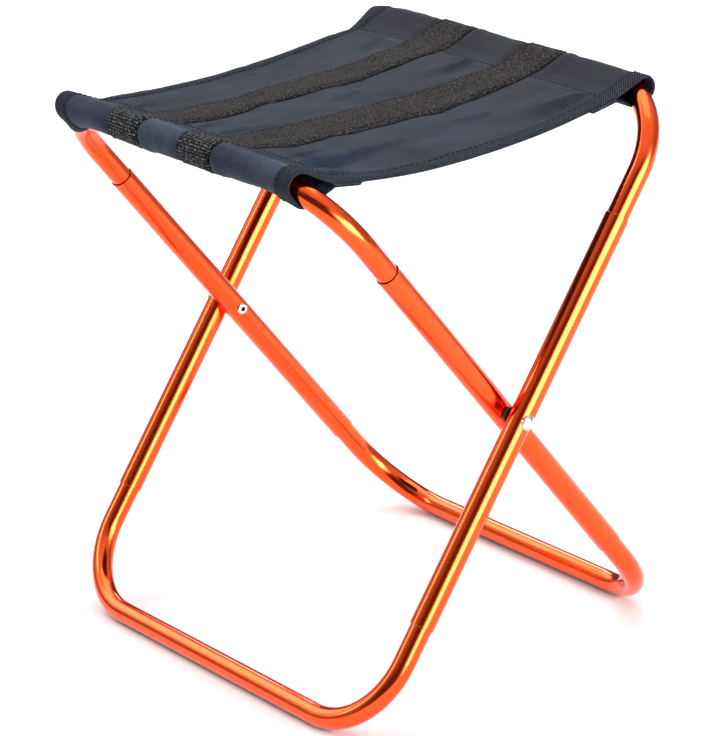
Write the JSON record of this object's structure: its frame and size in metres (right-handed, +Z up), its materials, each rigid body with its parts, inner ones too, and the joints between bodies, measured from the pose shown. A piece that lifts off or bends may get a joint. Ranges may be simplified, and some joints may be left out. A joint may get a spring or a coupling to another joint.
{
  "type": "camp stool",
  "caption": "Folding camp stool with two crossing bent-tube frames riveted at the sides and a sewn cloth seat hung between the top bars.",
  "frame": {"origin": "on the floor, under the middle of the open stool", "axes": "+Z up; +X from the inner frame's seat bar to the outer frame's seat bar; Y along the pivot axis"},
  "size_m": [0.2184, 0.2554, 0.2782],
  "materials": {
    "anodised_orange": "glossy orange anodised",
    "rivet_metal": "polished",
    "washer_nylon": "matte",
    "seat_cloth": "fine plain weave, slate navy",
    "binding_tape": "ribbed woven tape",
    "webbing": "coarse webbing, black with brown-grey flecks"
  },
  "bodies": {
    "inner_frame": {"inner_leg_left": "anodised_orange", "inner_leg_right": "anodised_orange", "inner_top_tube": "anodised_orange", "inner_floor_tube": "anodised_orange", "pivot_washer_left": "washer_nylon", "pivot_washer_right": "washer_nylon", "sleeve_inner": "seat_cloth", "sleeve_cuffs_inner": "binding_tape", "strap_loops_inner": "webbing", "seat_panel": "seat_cloth", "edge_binding_left": "binding_tape", "edge_binding_right": "binding_tape", "seat_strap_left": "webbing", "seat_strap_right": "webbing"},
    "outer_frame": {"outer_leg_left": "anodised_orange", "outer_leg_right": "anodised_orange", "outer_top_tube": "anodised_orange", "outer_floor_tube": "anodised_orange", "pivot_rivet_left": "rivet_metal", "pivot_rivet_right": "rivet_metal", "sleeve_outer": "seat_cloth", "sleeve_cuffs_outer": "binding_tape", "strap_loops_outer": "webbing"}
  },
  "joints": [
    {"name": "fold", "type": "hinge", "parent": "inner_frame", "child": "outer_frame", "pos_m": [-0.00212, 0, 0.1366], "axis": [0, -1, 0], "range_deg": [0, 60], "deforming": ["seat_panel", "edge_binding_left", "edge_binding_right", "seat_strap_left", "seat_strap_right"]}
  ]
}
